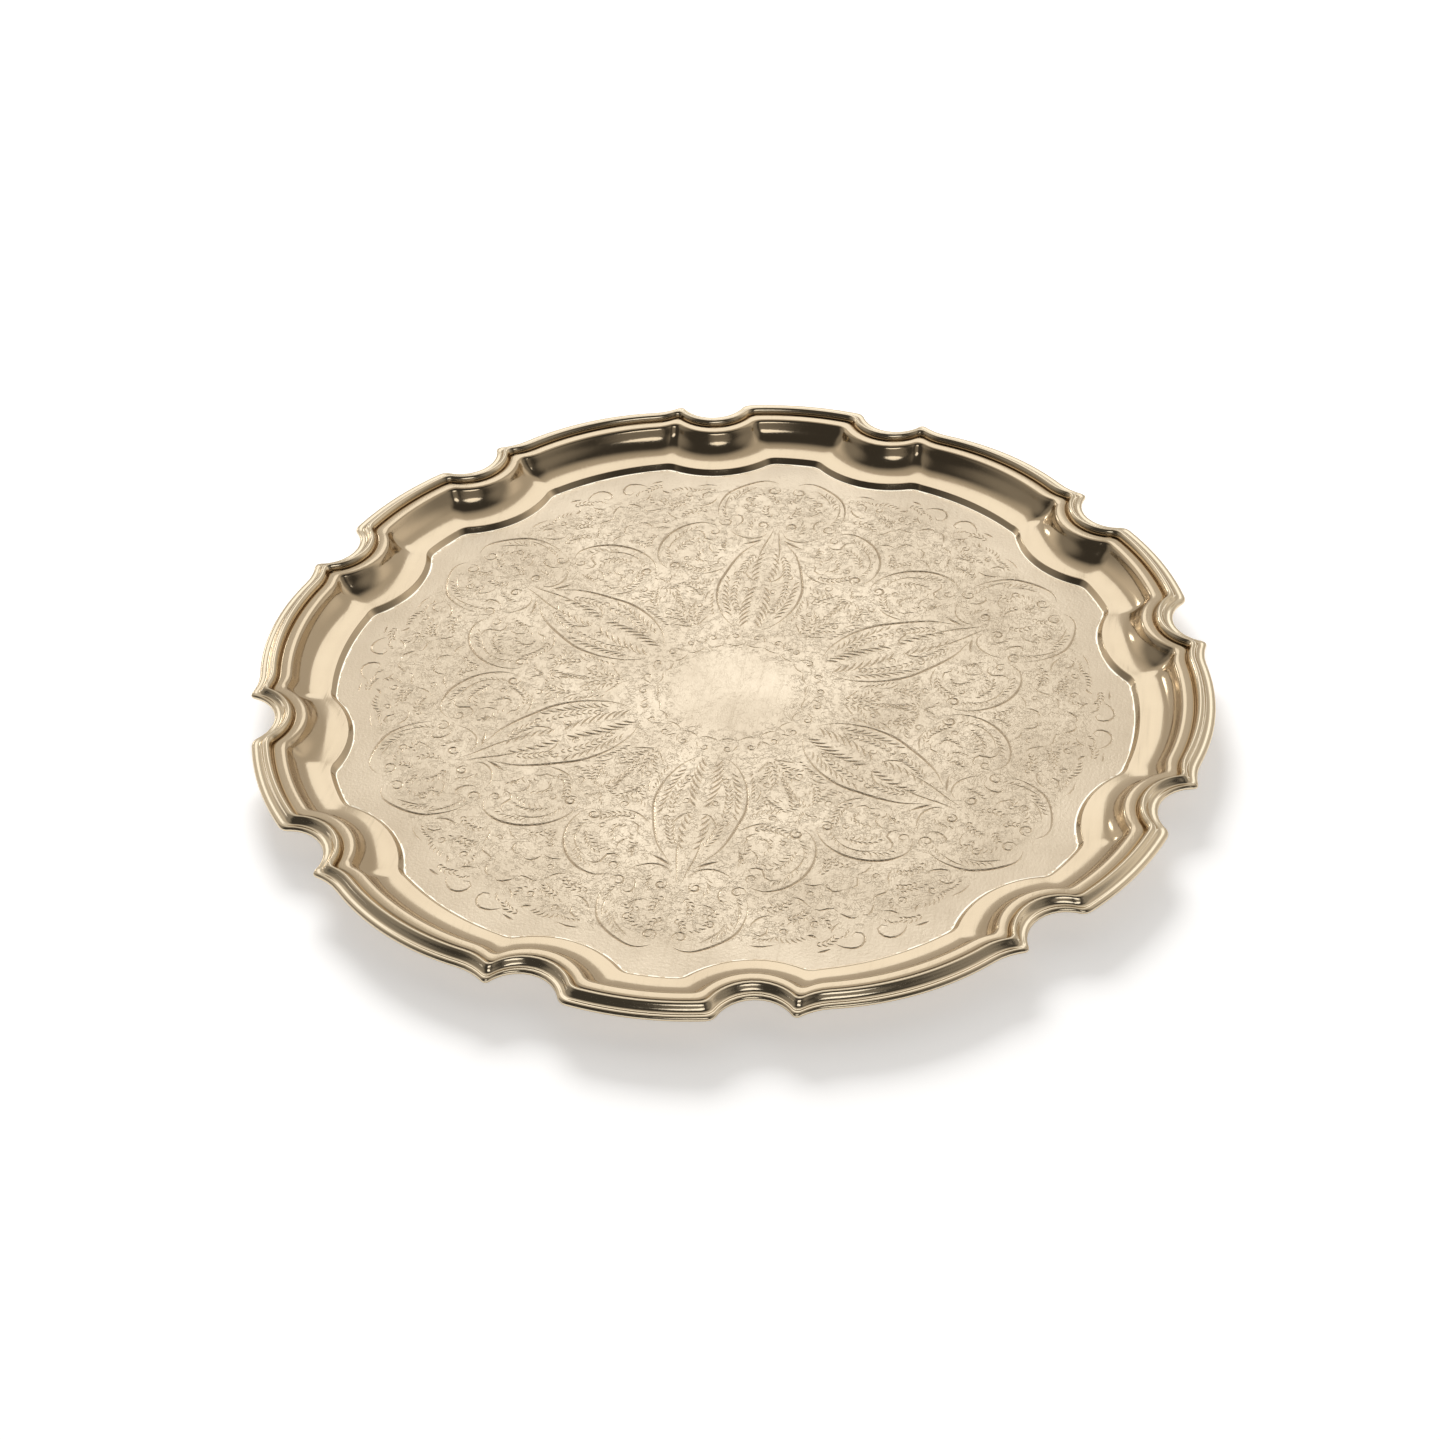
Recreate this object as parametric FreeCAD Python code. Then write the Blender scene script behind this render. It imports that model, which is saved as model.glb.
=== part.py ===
"""Round pie-crust tray in sheet brass with an applied moulded border.

One pressed pan (flat floor, low chamfered step, hollow curved wall, rolled top and a level
flange) carries twelve cast border strips.  The strips are mitred at the twelve sharp points
of the outline and soldered on the flange: six strips cover the long lobes, six run from bite
to bite around the short lobes.

Millimetres, +Z up.  Origin on the underside, at the tray's centre; a short lobe on +Y.
"""
import FreeCAD, Part
import math
import os

# ---- Plan outline, measured at the outer edge and at the edge of the floor ----
SIDES = 6                    # short lobes, and as many long lobes between them
STEP = 360.0 / SIDES         # from one short lobe to the next, degrees
BAND = 24.7                  # from the outer edge in to the edge of the floor
SHORT_REACH = 152.0          # tray centre to the middle of a short lobe, outer edge
LONG_REACH = 151.7           # tray centre to the middle of a long lobe, outer edge
LONG_RADIUS = 82.4           # radius of the long lobe's own arc
BITE_ANGLE = 12.3            # bottom of a bite, degrees from the short lobe's middle
BITE_REACH = (143.7, 119.6)  # tray centre to the bottom of a bite: outer edge, floor edge
SHORT_POINT = ((8.3, 151.2), (3.6, 127.2))     # degrees off its lobe, reach: outer, floor
LONG_POINT = ((13.4, 152.3), (9.9, 126.1))     # degrees off its lobe, reach: outer, floor
FLARE_ANGLE = (17.0, 12.5)   # where the long arc turns out to its point, about its own centre

# ---- Sheet and height ----
SHEET = 1.0                  # thickness of the pressed brass sheet
FLANGE_TOP = 9.9             # top of the level flange
FLANGE_EDGE = 1.0            # inset of the flange's cut edge
FLANGE_FOOT = 6.4            # inset where the flange meets the rolled top
STRIP_FOOT = 5.9             # inset of the strip's inner foot
SKIRT_FOOT = 9.2             # height of the strip's lower edge, outside the flange
FLANGE_ROOT = 7.3            # inset where the flange's underside meets the roll's

# ---- Profiles as (inset from the outer edge, height) ----
STEP_UP = [(24.7, SHEET), (22.7, 2.75)]
WALL = [(22.7, 2.75), (18.6, 3.15), (14.7, 4.6), (12.1, 6.9), (11.0, 9.1)]
ROLL = [(11.0, 9.1), (10.5, 9.95), (9.6, 10.4), (8.4, 10.5), (7.2, 10.5), (6.75, 10.35),
        (FLANGE_FOOT, FLANGE_TOP)]
MOULDING = [(STRIP_FOOT, 10.5), (5.6, 11.6), (4.9, 12.15), (4.3, 12.15), (3.7, 11.7),
            (3.2, 11.0), (2.6, 10.5), (1.9, 10.4), (1.2, 10.55), (0.6, 10.5), (0.2, 10.2),
            (0.03, 9.75)]


def between(pair, inset):
    """Value at an inset, going evenly from the outer edge to the edge of the floor."""
    share = inset / BAND
    return pair[0] + (pair[1] - pair[0]) * share


def polar(degrees, reach, height):
    angle = math.radians(degrees)
    return FreeCAD.Vector(reach * math.cos(angle), reach * math.sin(angle), height)


def point_on(axis, side, point, inset, height):
    """A sharp point of the outline, on one side (-1 or 1) of its lobe's middle.

    The points of all insets lie on one straight line in plan, the line of the mitre.
    """
    outer, floor = (polar(axis + side * angle, reach, height) for angle, reach in point)
    return outer + (floor - outer) * (inset / BAND)


def arc(first, middle, last):
    return Part.Arc(first, middle, last).toShape()


def short_arc(axis, inset, height):
    first = point_on(axis, -1, SHORT_POINT, inset, height)
    last = point_on(axis, 1, SHORT_POINT, inset, height)
    return arc(first, polar(axis, SHORT_REACH - inset, height), last)


def bite_arc(axis, side, inset, height):
    """The bite between a short lobe and the long lobe on its side (-1 or 1)."""
    bottom = polar(axis + side * BITE_ANGLE, between(BITE_REACH, inset), height)
    near = point_on(axis, side, SHORT_POINT, inset, height)
    far = point_on(axis + side * STEP / 2, -side, LONG_POINT, inset, height)
    return arc(near, bottom, far) if side > 0 else arc(far, bottom, near)


def long_arcs(axis, inset, height):
    """The long lobe: its main arc and, at each end, an arc turning out to the point."""
    reach = LONG_REACH - inset
    centre = polar(axis, reach - LONG_RADIUS, height)
    turn = between(FLARE_ANGLE, inset)
    joins, flares = {}, {}
    for side in (-1, 1):
        join = centre + polar(axis + side * turn, LONG_RADIUS, 0)
        tangent = polar(axis + side * (turn + 90), 1, 0)
        tip = point_on(axis, side, LONG_POINT, inset, height)
        chord = tip - join
        bend = math.atan2(tangent.cross(chord).z, tangent.dot(chord)) / 2
        heading = axis + side * (turn + 90) + math.degrees(bend)
        middle = join + polar(heading, chord.Length / (2 * math.cos(bend)), 0)
        joins[side] = join
        flares[side] = arc(join, middle, tip) if side > 0 else arc(tip, middle, join)
    main = arc(joins[-1], polar(axis, reach, height), joins[1])
    return [flares[-1], main, flares[1]]


def long_path(axis):
    return lambda inset, height: long_arcs(axis + STEP / 2, inset, height)


def short_path(axis):
    return lambda inset, height: [bite_arc(axis, -1, inset, height),
                                  short_arc(axis, inset, height),
                                  bite_arc(axis, 1, inset, height)]


def whole_path(inset, height):
    edges = []
    for lobe in range(SIDES):
        axis = 90 + STEP * lobe
        edges += short_path(axis)(inset, height) + long_path(axis)(inset, height)
    return edges


def skin(path, profile, flat=False):
    """Faces that carry a run of profile points along a path, one face for each arc."""
    sections = [path(inset, height) for inset, height in profile]
    if flat:
        return [Part.makeRuledSurface(near, far) for near, far in zip(*sections)]
    return Part.makeLoft([Part.Wire(arcs) for arcs in sections], False, False).Faces


def even(profile, count):
    """The same run as a smooth curve, taken at evenly spaced points."""
    curve = Part.BSplineCurve()
    curve.interpolate([FreeCAD.Vector(inset, height, 0) for inset, height in profile])
    return [(place.x, place.y) for place in curve.discretize(Number=count)]


def under(profile, thickness):
    """The other side of the sheet: each profile point moved square to the run."""
    moved = []
    for number, (inset, height) in enumerate(profile):
        before = profile[max(number - 1, 0)]
        after = profile[min(number + 1, len(profile) - 1)]
        run, rise = after[0] - before[0], after[1] - before[1]
        length = math.hypot(run, rise)
        moved.append((inset - thickness * rise / length, height + thickness * run / length))
    return moved


def solid_from(faces):
    shell = Part.makeShell(faces)
    shell.sewShape(0.01)
    solid = Part.Solid(shell if shell.ShapeType == "Shell" else shell.Shells[0])
    if solid.Volume < 0:
        solid.reverse()
    return solid


def make_pan():
    floor = STEP_UP[0][0]
    lower_step = [(floor - 0.4, 0.0), (STEP_UP[1][0] - 0.25, STEP_UP[1][1] - SHEET)]
    wall, roll = even(WALL, 9), even(ROLL, 9)
    lower_wall = [lower_step[-1]] + under(wall, SHEET)[1:]
    lower_roll = [lower_wall[-1]] + under(roll, SHEET)[1:-1] + [(FLANGE_ROOT, FLANGE_TOP - SHEET)]
    flange_under = [lower_roll[-1], (FLANGE_EDGE, FLANGE_TOP - SHEET)]
    faces = []
    for profile in (wall, roll, lower_wall, lower_roll):
        faces += skin(whole_path, profile)
    for profile in (STEP_UP, lower_step, [(FLANGE_FOOT, FLANGE_TOP), (FLANGE_EDGE, FLANGE_TOP)],
                    [(FLANGE_EDGE, FLANGE_TOP), flange_under[1]], flange_under):
        faces += skin(whole_path, profile, flat=True)
    faces.append(Part.Face(Part.Wire(whole_path(*STEP_UP[0]))))
    faces.append(Part.Face(Part.Wire(whole_path(*lower_step[0]))))
    return solid_from(faces)


def end_edges(faces, tip):
    """The edges at one mitred end: those lying in the upright plane through its tips."""
    outer, inner = tip(0), tip(BAND)
    normal = (inner - outer).cross(FreeCAD.Vector(0, 0, 1)).normalize()
    found = []
    for face in faces:
        for edge in face.Edges:
            span = [edge.valueAt(edge.FirstParameter + share
                                 * (edge.LastParameter - edge.FirstParameter))
                    for share in (0, 0.5, 1)]
            if all(abs((place - outer).dot(normal)) < 0.02 and
                   abs((place - outer).dot((inner - outer).normalize())) < 8
                   for place in span):
                found.append(edge)
    return found


def make_strip(path, axis, first_point, last_point):
    """A border strip on the flange, with a skirt over the flange's cut edge."""
    foot = (STRIP_FOOT, FLANGE_TOP)
    rebate = (FLANGE_EDGE, FLANGE_TOP)
    skirt_in, skirt_out = (FLANGE_EDGE, SKIRT_FOOT), (0.15, SKIRT_FOOT)
    faces = skin(path, even(MOULDING, 17))
    for run in ([foot, MOULDING[0]], [MOULDING[-1], skirt_out], [skirt_out, skirt_in],
                [skirt_in, rebate], [rebate, foot]):
        faces += skin(path, run, flat=True)
    caps = []
    for tip in (first_point, last_point):
        wire = Part.Wire(Part.__sortEdges__(end_edges(faces, tip)))
        caps.append(Part.Face(wire))
    return solid_from(faces + caps)


def long_tip(axis, side):
    return lambda inset: point_on(axis, side, LONG_POINT, inset, 0)


def main():
    os.makedirs("parts", exist_ok=True)
    shapes = {"tray_pan": make_pan()}
    for lobe in range(SIDES):
        axis = 90 + STEP * lobe
        middle = axis + STEP / 2
        shapes["border_short_%d" % (lobe + 1)] = make_strip(
            short_path(axis), axis, long_tip(axis - STEP / 2, 1), long_tip(middle, -1))
        shapes["border_long_%d" % (lobe + 1)] = make_strip(
            long_path(axis), middle, long_tip(middle, -1), long_tip(middle, 1))
    for name, shape in shapes.items():
        print(name, shape.isValid(), shape.isClosed(), round(shape.Volume), len(shape.Faces),
              shape.BoundBox)
        shape.exportStep("parts/%s.step" % name)


main()
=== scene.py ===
import math

import bmesh
import bpy
import numpy as np
from mathutils import Matrix, Vector
from mathutils.geometry import delaunay_2d_cdt


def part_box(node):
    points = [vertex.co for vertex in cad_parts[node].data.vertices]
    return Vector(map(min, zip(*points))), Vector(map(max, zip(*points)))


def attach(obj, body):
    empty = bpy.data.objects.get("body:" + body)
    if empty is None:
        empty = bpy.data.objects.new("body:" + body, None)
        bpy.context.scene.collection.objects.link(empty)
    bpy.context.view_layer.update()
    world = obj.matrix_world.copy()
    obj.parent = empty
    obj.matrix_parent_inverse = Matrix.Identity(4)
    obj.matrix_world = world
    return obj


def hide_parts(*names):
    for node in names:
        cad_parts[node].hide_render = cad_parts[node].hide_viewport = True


bl_info = {
    "name": "Pie-crust brass tray",
    "version": (1, 0, 0),
    "blender": (4, 5, 0),
    "location": "3D View > Sidebar > Tray",
    "description": "Builds a round brass tray with a mitred border and an engraved floor",
    "category": "Add Mesh",
}

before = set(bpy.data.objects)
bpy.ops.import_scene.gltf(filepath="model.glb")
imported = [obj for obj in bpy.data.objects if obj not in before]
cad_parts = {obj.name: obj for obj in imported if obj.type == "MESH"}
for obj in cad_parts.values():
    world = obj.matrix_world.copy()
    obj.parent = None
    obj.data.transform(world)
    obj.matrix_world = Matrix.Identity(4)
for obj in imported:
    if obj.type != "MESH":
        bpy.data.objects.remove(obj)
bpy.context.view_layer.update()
PAN_LOW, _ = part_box("tray_pan")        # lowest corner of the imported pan, in metres
MM = 0.001

# ---- Plan outline, in millimetres and degrees, as the part has it ----
# A pair is the value at the outer edge and at the edge of the floor.  A point is its angle
# off its lobe's middle and its reach from the centre, at those two edges.
SIDES = 6
STEP = 360.0 / SIDES
BAND = 24.7                  # from the outer edge in to the edge of the floor
SHORT_REACH = 152.0
LONG_REACH = 151.7
LONG_RADIUS = 82.4
BITE_ANGLE = 12.3
BITE_REACH = (143.7, 119.6)
SHORT_POINT = ((8.3, 151.2), (3.6, 127.2))
LONG_POINT = ((13.4, 152.3), (9.9, 126.1))
FLARE_ANGLE = (17.0, 12.5)
SHEET = 1.0
FLANGE_TOP = 9.9
FLANGE_EDGE = 1.0
SHORT_AXIS = 90.0            # direction of the first short lobe, degrees from +X
LONG_AXIS = SHORT_AXIS + STEP / 2      # direction of the long lobe after it
POINT_ROUNDING = 2.4         # length at each side of a sharp point that is rounded off

# Spans of half a sector: half a short lobe, a bite, the flare and half the long arc, and
# each rounded point between them.
LOBE_SPANS, BITE_SPANS, FLARE_SPANS, MAIN_SPANS, POINT_SPANS = 7, 16, 5, 10, 6
HALF_SPANS = LOBE_SPANS + BITE_SPANS + FLARE_SPANS + MAIN_SPANS + 2 * POINT_SPANS
# Spans from a short lobe's middle to the middle of the rounded point before a long lobe.
MITRE_SPANS = LOBE_SPANS + BITE_SPANS + POINT_SPANS * 3 // 2

# ---- Sections as (inset from the outer edge, height), in millimetres ----
RISER = [(BAND, 1.0), (24.4, 1.02), (24.15, 1.07), (24.0, 1.17), (22.95, 2.53), (22.8, 2.66),
         (22.6, 2.75), (22.2, 2.8)]
WALL = [(22.2, 2.8), (18.6, 3.2), (14.7, 4.6), (12.1, 6.9), (11.0, 9.1)]
ROLL = [(11.0, 9.1), (10.5, 9.95), (9.6, 10.4), (8.4, 10.5), (7.2, 10.5), (6.75, 10.35),
        (6.45, 9.95)]
FLANGE_FOOT = 6.35           # inset where the flange meets the rolled top
LOWER_RISER = [(24.3, 0.0), (24.1, 0.04), (23.9, 0.15), (22.7, 1.4), (22.3, 1.7)]
FLANGE_ROOT = 7.2            # inset where the flange's underside meets the roll's
CUT_EDGE = 0.1               # bevel of the flange's cut edge
CREST = [(5.9, 10.5), (5.6, 11.55), (4.95, 12.12), (4.3, 12.15), (3.7, 11.7), (3.2, 11.0),
         (2.6, 10.5), (1.9, 10.4), (1.2, 10.55), (0.6, 10.5), (0.2, 10.2), (0.0, 9.75)]
SKIRT = [(0.0, 9.5), (0.12, 9.27), (0.3, 9.2), (0.9, 9.2), (FLANGE_EDGE, 9.3),
         (FLANGE_EDGE, FLANGE_TOP), (5.8, FLANGE_TOP), (5.9, 10.0), (5.9, 10.5)]
WALL_POINTS, ROLL_POINTS, CREST_POINTS = 15, 14, 36
SHARP_EDGE = 0.9             # angle, in radians, past which an edge of a strip is sharp
WELD = 2e-6                  # points nearer than this are one, in metres
SECTION_WELD = 1e-7          # and the same for the points of a section


# ---------------------------------------------------------------- settings
class TraySizes(bpy.types.PropertyGroup):
    floor_top: bpy.props.FloatProperty(
        name="Floor height", description="Top of the flat floor above the table",
        default=PAN_LOW.z + SHEET * MM, unit="LENGTH", subtype="DISTANCE", precision=4)
    mitre_gap: bpy.props.FloatProperty(
        name="Mitre gap", description="Width of the fine joint line between two border strips",
        default=0.00005, unit="LENGTH", subtype="DISTANCE", precision=5)
    cut_slope: bpy.props.FloatProperty(
        name="Cut slope", description="Depth of an engraved cut, as a share of half its width",
        default=0.42, min=0.05, max=2.0)
    cut_width: bpy.props.FloatProperty(
        name="Cut width", description="All engraved cuts are this many times their drawn width",
        default=1.2, min=0.2, max=3.0)


class TrayFinish(bpy.types.PropertyGroup):
    polished: bpy.props.FloatVectorProperty(
        name="Polished brass", description="Colour of the polished wall",
        subtype="COLOR", size=3, default=(0.62, 0.505, 0.35), min=0.0, max=1.0)
    # The border's brass is paler than the wall's so that its highlights read brighter: partly
    # its brass colour, partly a painted highlight.
    border: bpy.props.FloatVectorProperty(
        name="Border brass", description="Colour of the paler cast border",
        subtype="COLOR", size=3, default=(0.74, 0.63, 0.46), min=0.0, max=1.0)
    satin: bpy.props.FloatVectorProperty(
        name="Satin brass", description="Colour of the paler, satin floor",
        subtype="COLOR", size=3, default=(0.90, 0.775, 0.595), min=0.0, max=1.0)
    tarnish: bpy.props.FloatVectorProperty(
        name="Tarnish", description="Colour of the tarnish in hollows and cuts",
        subtype="COLOR", size=3, default=(0.30, 0.20, 0.11), min=0.0, max=1.0)
    floor_roughness: bpy.props.FloatProperty(
        name="Floor roughness", description="Roughness of the satin floor", default=0.36,
        min=0.0, max=1.0, subtype="FACTOR")
    wall_roughness: bpy.props.FloatProperty(
        name="Wall roughness", description="Roughness of the polished wall and border",
        default=0.13, min=0.0, max=1.0, subtype="FACTOR")


class TrayStage(bpy.types.PropertyGroup):
    distance: bpy.props.FloatProperty(
        name="Camera distance", description="From the middle of the floor to the camera",
        default=0.8292, unit="LENGTH", subtype="DISTANCE")
    elevation: bpy.props.FloatProperty(
        name="Camera elevation", description="Angle of the camera above the table",
        default=math.radians(39.5), subtype="ANGLE", unit="ROTATION")
    azimuth: bpy.props.FloatProperty(
        name="Camera azimuth", description="Angle of the camera round from the front",
        default=math.radians(11.29), subtype="ANGLE", unit="ROTATION")
    roll: bpy.props.FloatProperty(
        name="Camera roll", description="Tilt of the camera about its own axis",
        default=math.radians(-1.92), subtype="ANGLE", unit="ROTATION")
    lens: bpy.props.FloatProperty(
        name="Lens", description="Focal length in millimetres on a 36 mm sensor",
        default=65.01)
    shift: bpy.props.FloatVectorProperty(
        name="Camera shift", description="Shift of the frame, across and up, in frame widths",
        size=2, default=(-0.008125, -0.02), precision=4)
    floor_colour: bpy.props.FloatVectorProperty(
        name="Floor colour", description="Colour of the plain floor", subtype="COLOR", size=3,
        default=(0.86, 0.86, 0.86), min=0.0, max=1.0)


# ---------------------------------------------------------------- plan outline
def between(pair, inset):
    return pair[0] + (pair[1] - pair[0]) * inset / BAND


def polar(degrees, reach):
    angle = math.radians(degrees)
    return np.array((math.cos(angle), math.sin(angle))) * reach


def outline_point(axis, side, point, inset):
    """A sharp point of the outline, on one side (-1 or 1) of its lobe's middle."""
    outer, floor = (polar(axis + side * angle, reach) for angle, reach in point)
    return outer + (floor - outer) * (inset / BAND)


def arc_points(first, middle, last, shares):
    """Points on the circle through three points, at the given shares of the way along."""
    ax, ay = middle - first
    bx, by = last - first
    cross = 2 * (ax * by - ay * bx)
    ux = (by * (ax * ax + ay * ay) - ay * (bx * bx + by * by)) / cross
    uy = (ax * (bx * bx + by * by) - bx * (ax * ax + ay * ay)) / cross
    centre = first + (ux, uy)
    radius = math.hypot(ux, uy)
    start = math.atan2(*(first - centre)[::-1])
    turn = math.atan2(*(last - centre)[::-1]) - start
    via = math.atan2(*(middle - centre)[::-1]) - start
    full = 2 * math.pi
    turn, via = turn % full, via % full
    if via > turn:
        turn -= full
    angles = start + turn * np.asarray(shares)
    return centre + radius * np.stack((np.cos(angles), np.sin(angles)), 1)


def crowded(count, first=True, last=True):
    """Shares from 0 to 1, closer together towards the ends that stop at a sharp point."""
    even = np.linspace(0, 1, count + 1)
    if first and last:
        return 0.5 - 0.5 * np.cos(math.pi * even)
    if first:
        return 1 - np.cos(math.pi / 2 * even)
    return np.sin(math.pi / 2 * even)


def trimmed(first, middle, last, shares, last_point=True):
    """An arc that stops short of the sharp points at its ends, to leave room to round them."""
    whole = arc_points(first, middle, last, np.linspace(0, 1, 9))
    spare = POINT_ROUNDING / np.linalg.norm(np.diff(whole, axis=0), axis=1).sum()
    room = 1 - spare * (2 if last_point else 1)
    return arc_points(first, middle, last, spare + room * shares)


def rounded(before, point, after):
    """The points that take the sharpness off a corner, without its two ends."""
    share = np.linspace(0, 1, POINT_SPANS + 1)[1:-1, None]
    return (1 - share) ** 2 * before + 2 * share * (1 - share) * point + share ** 2 * after


def half_sector(inset):
    """The outline from a short lobe's middle to the next long lobe's middle."""
    axis, middle = SHORT_AXIS, LONG_AXIS
    top = polar(axis, SHORT_REACH - inset)
    short_tip = outline_point(axis, 1, SHORT_POINT, inset)
    other_tip = outline_point(axis, -1, SHORT_POINT, inset)
    bottom = polar(axis + BITE_ANGLE, between(BITE_REACH, inset))
    long_tip = outline_point(middle, -1, LONG_POINT, inset)
    reach = LONG_REACH - inset
    centre = polar(middle, reach - LONG_RADIUS)
    turn = between(FLARE_ANGLE, inset)
    join = centre + polar(middle - turn, LONG_RADIUS)
    other_join = centre + polar(middle + turn, LONG_RADIUS)
    chord = long_tip - join
    bend = (math.atan2(chord[1], chord[0]) - math.radians(middle - turn - 90))
    bend = (math.atan2(math.sin(bend), math.cos(bend))) / 2
    heading = middle - turn - 90 + math.degrees(bend)
    knee = join + polar(heading, np.linalg.norm(chord) / (2 * math.cos(bend)))
    lobe = trimmed(other_tip, top, short_tip, 0.5 + 0.5 * crowded(LOBE_SPANS, first=False))
    bite = trimmed(short_tip, bottom, long_tip, crowded(BITE_SPANS))
    flare = trimmed(long_tip, knee, join, crowded(FLARE_SPANS, last=False), last_point=False)
    main = arc_points(join, polar(middle, reach), other_join,
                      np.linspace(0, 0.5, MAIN_SPANS + 1))
    return np.concatenate((lobe, rounded(lobe[-1], short_tip, bite[0]), bite,
                           rounded(bite[-1], long_tip, flare[0]), flare[:-1], main))


def mirrored(points, degrees):
    """Points mirrored in the line through the centre at an angle, in reverse order."""
    angle = math.radians(2 * degrees)
    matrix = np.array(((math.cos(angle), math.sin(angle)),
                       (math.sin(angle), -math.cos(angle))))
    return (points @ matrix.T)[::-1]


def turned(points, degrees):
    angle = math.radians(degrees)
    matrix = np.array(((math.cos(angle), -math.sin(angle)),
                       (math.sin(angle), math.cos(angle))))
    return points @ matrix.T


def sector(inset):
    """The outline from one short lobe's middle to the next, 60 degrees on."""
    half = half_sector(inset)
    return np.concatenate((half, mirrored(half, LONG_AXIS)[1:]))


def whole_outline(inset):
    one = sector(inset)[:-1]
    loop = np.concatenate([turned(one, STEP * lobe) for lobe in range(SIDES)])
    return np.concatenate((loop, loop[:1]))


def strip_outline(inset, lobe, short):
    """The outline under one border strip, from mitre to mitre."""
    loop = whole_outline(inset)[:-1]
    middle = lobe * 2 * HALF_SPANS
    first, last = middle - MITRE_SPANS, middle + MITRE_SPANS
    if not short:
        first, last = last, first + 2 * HALF_SPANS
    return loop[np.arange(first, last + 1) % len(loop)]


def shortened(outline, gap):
    """An outline with both ends moved in by a gap, for the fine line of the mitre."""
    for tip, inward in ((0, 1), (-1, -2)):
        step = outline[inward] - outline[tip]
        outline[tip] += step / np.linalg.norm(step) * gap
    return outline


# ---------------------------------------------------------------- profiles
def smooth_run(points, count):
    """A rounded run through profile points, at evenly shared steps."""
    points = np.asarray(points, float)
    ends = (2 * points[0] - points[1], 2 * points[-1] - points[-2])
    padded = np.concatenate(([ends[0]], points, [ends[1]]))
    knots = np.concatenate(([0], np.cumsum(np.linalg.norm(np.diff(padded, axis=0), axis=1))))
    length = knots[-2] - knots[1]
    out = []
    for distance in np.linspace(0, length, count):
        at = knots[1] + distance
        k = min(max(int(np.searchsorted(knots, at, side="right")) - 1, 1), len(points) - 1)
        t0, t1 = knots[k], knots[k + 1]
        slope = [(padded[n + 1] - padded[n - 1]) / (knots[n + 1] - knots[n - 1])
                 for n in (k, k + 1)]
        h = t1 - t0
        u = (at - t0) / h
        out.append((2 * u**3 - 3 * u**2 + 1) * padded[k] + (u**3 - 2 * u**2 + u) * h * slope[0]
                   + (-2 * u**3 + 3 * u**2) * padded[k + 1] + (u**3 - u**2) * h * slope[1])
    return np.array(out)


def under(run, thickness):
    """The other face of the sheet: every point moved square to the run."""
    step = np.gradient(run, axis=0)
    step /= np.linalg.norm(step, axis=1)[:, None]
    return run + thickness * np.stack((-step[:, 1], step[:, 0]), 1)


def pan_profile():
    """The pan from the edge of the floor, up and out over the rim and back underneath."""
    wall, roll = smooth_run(WALL, WALL_POINTS), smooth_run(ROLL, ROLL_POINTS)
    lower = under(np.concatenate((wall, roll[1:-1])), SHEET)[2::3]
    below = FLANGE_TOP - SHEET
    top = [*RISER, *wall[1:], *roll[1:], (FLANGE_FOOT, FLANGE_TOP),
           (FLANGE_EDGE + CUT_EDGE, FLANGE_TOP), (FLANGE_EDGE, FLANGE_TOP - CUT_EDGE)]
    bottom = [*LOWER_RISER, *lower, (FLANGE_ROOT, below), (FLANGE_EDGE + CUT_EDGE, below),
              (FLANGE_EDGE, below + CUT_EDGE)]
    return np.array(top + bottom[::-1])


def strip_profile():
    """The closed section of the border: moulding, skirt, rebate over the flange and foot."""
    return np.concatenate((smooth_run(CREST, CREST_POINTS), SKIRT))


# ---------------------------------------------------------------- small helpers
def add_object(name, data):
    obj = bpy.data.objects.new(name, data)
    bpy.context.scene.collection.objects.link(obj)
    return obj


def mesh_object(name, vertices, edges=(), faces=()):
    mesh = bpy.data.meshes.new(name)
    mesh.from_pydata([tuple(map(float, v)) for v in vertices], list(edges), list(faces))
    return add_object(name, mesh)


def path_object(name, points):
    """A chain of points as a mesh, for a node tree to read."""
    chain = [(x, y, 0) for x, y in points]
    return mesh_object(name, chain, [(n, n + 1) for n in range(len(chain) - 1)])


def remove(*objects):
    for obj in objects:
        mesh = obj.data
        bpy.data.objects.remove(obj)
        bpy.data.meshes.remove(mesh)


def add_node(tree, kind, inputs=None, **settings):
    """A node with its settings, and its inputs set or linked by name or number."""
    node = tree.nodes.new(kind)
    for name, value in settings.items():
        setattr(node, name, value)
    for name, value in (inputs or {}).items():
        socket = node.inputs[name]
        if isinstance(value, bpy.types.NodeSocket):
            tree.links.new(value, socket)
        else:
            socket.default_value = value
    return node


def maths(tree, operation, first, second=0.0, **more):
    node = add_node(tree, "ShaderNodeMath", {0: first, 1: second}, operation=operation, **more)
    return node.outputs[0]


def ramp(tree, value, start, end, low=0.0, high=1.0, **settings):
    """Carries a value from one range to another, and holds it at both ends."""
    return add_node(tree, "ShaderNodeMapRange",
                    {"Value": value, "From Min": start, "From Max": end, "To Min": low,
                     "To Max": high}, **settings).outputs[0]


def noise(tree, place, scale, **more):
    """A noise field over a place; its other inputs are given by name."""
    inputs = {name.capitalize(): value for name, value in more.items()}
    inputs.update({"Vector": place, "Scale": scale})
    return add_node(tree, "ShaderNodeTexNoise", inputs).outputs[0]


def mixed(tree, share, first, second):
    """A colour between two, each with its alpha or from another node."""
    return add_node(tree, "ShaderNodeMix", {"Factor": share, 6: first, 7: second},
                    data_type="RGBA").outputs[2]


def attribute(tree, name):
    return add_node(tree, "ShaderNodeAttribute", attribute_name=name).outputs["Fac"]


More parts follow.
